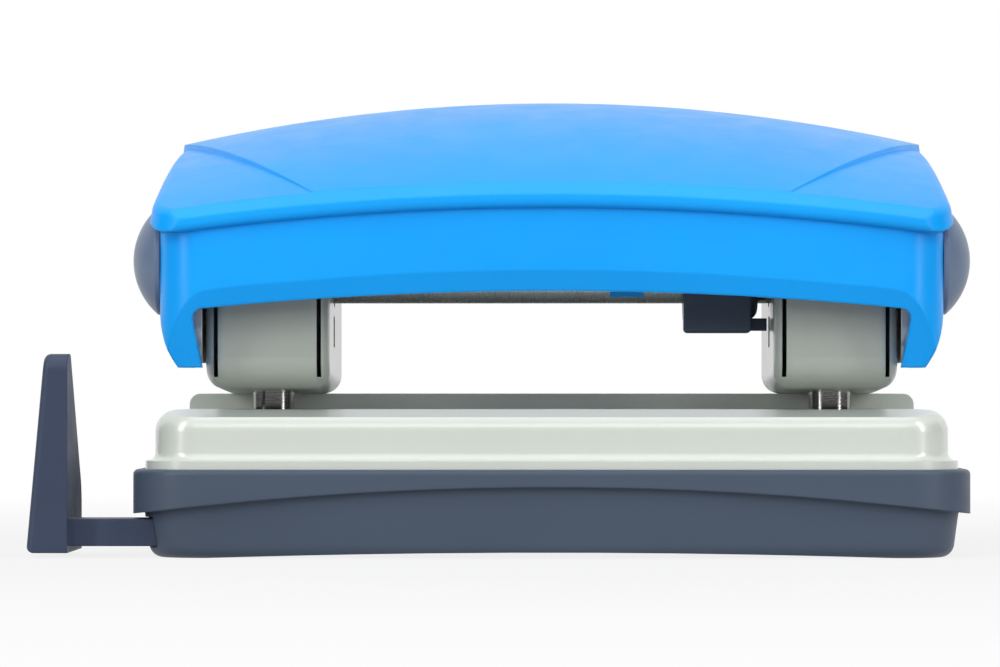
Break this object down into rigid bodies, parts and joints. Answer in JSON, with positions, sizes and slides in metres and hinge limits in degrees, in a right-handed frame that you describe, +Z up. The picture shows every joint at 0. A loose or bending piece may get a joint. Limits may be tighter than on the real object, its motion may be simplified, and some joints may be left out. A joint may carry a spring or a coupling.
{
  "type": "two-hole punch",
  "caption": "Desk hole punch worked by a wide hand lever, with spring-loaded punch pins, a handle catch, a sliding paper guide and a hinged chip tray.",
  "frame": {"origin": "midpoint between the two punch pins, on the plane that the tray's feet stand on", "axes": "+X towards the lock catch, to the right of someone who faces the paper side; +Y away from the paper side, towards the tray's hinge; +Z up, along the punch pins"},
  "size_m": [0.1321, 0.1015, 0.066],
  "materials": {
    "base_paint": "satin, pale grey",
    "zinc_strip": "satin zinc plate",
    "zinc_sheet": "satin zinc plate",
    "bright_steel": "bright turned",
    "hardened_steel": "ground",
    "spring_steel": "bright drawn wire",
    "screw_steel": "dark zinc",
    "handle_plastic": "fine satin, bright blue",
    "cap_plastic": "fine grain, mid grey",
    "catch_plastic": "fine grain, slate",
    "tray_plastic": "fine grain, dark slate",
    "guide_plastic": "fine grain, dark slate"
  },
  "bodies": {
    "base": {"base_plate": "base_paint", "die_strip": "zinc_strip", "left_punch_housing": "base_paint", "right_punch_housing": "base_paint", "left_pivot_pin": "bright_steel", "right_pivot_pin": "bright_steel", "left_inner_rivet": "bright_steel", "left_outer_rivet": "bright_steel", "right_inner_rivet": "bright_steel", "right_outer_rivet": "bright_steel", "left_tray_hinge_pin": "bright_steel", "right_tray_hinge_pin": "bright_steel"},
    "handle": {"lever_frame": "zinc_sheet", "press_bar": "bright_steel", "handle_shell": "handle_plastic", "left_pivot_cap": "cap_plastic", "right_pivot_cap": "cap_plastic", "left_shell_screw": "screw_steel", "right_shell_screw": "screw_steel"},
    "catch": {"lock_catch": "catch_plastic"},
    "left_pin": {"left_punch_pin": "hardened_steel", "left_pin_spring": "spring_steel"},
    "right_pin": {"right_punch_pin": "hardened_steel", "right_pin_spring": "spring_steel"},
    "tray": {"chip_tray": "tray_plastic"},
    "guide": {"paper_guide": "guide_plastic"}
  },
  "joints": [
    {"name": "handle_press", "type": "hinge", "parent": "base", "child": "handle", "pos_m": [0, -0.014, 0.0416], "axis": [1, 0, 0], "range_deg": [0, 25]},
    {"name": "left_pin_travel", "type": "slide", "parent": "base", "child": "left_pin", "axis": [0, 0, 1], "range_m": [0, 0.0062], "deforming": ["left_pin_spring"]},
    {"name": "right_pin_travel", "type": "slide", "parent": "base", "child": "right_pin", "axis": [0, 0, 1], "range_m": [0, 0.0062], "deforming": ["right_pin_spring"]},
    {"name": "catch_slide", "type": "slide", "parent": "handle", "child": "catch", "axis": [1, 0, 0], "range_m": [-0.0052, 0.00155]},
    {"name": "tray_open", "type": "hinge", "parent": "base", "child": "tray", "pos_m": [0, 0.0674, 0.0123], "axis": [1, 0, 0], "range_deg": [0, 35]},
    {"name": "guide_slide", "type": "slide", "parent": "tray", "child": "guide", "axis": [1, 0, 0], "range_m": [-0.0812, 0.0085]}
  ],
  "couplings": [
    {"joint": "left_pin_travel", "follows": "handle_press", "m_per_rad": 0.0139},
    {"joint": "right_pin_travel", "follows": "handle_press", "m_per_rad": 0.0139}
  ]
}
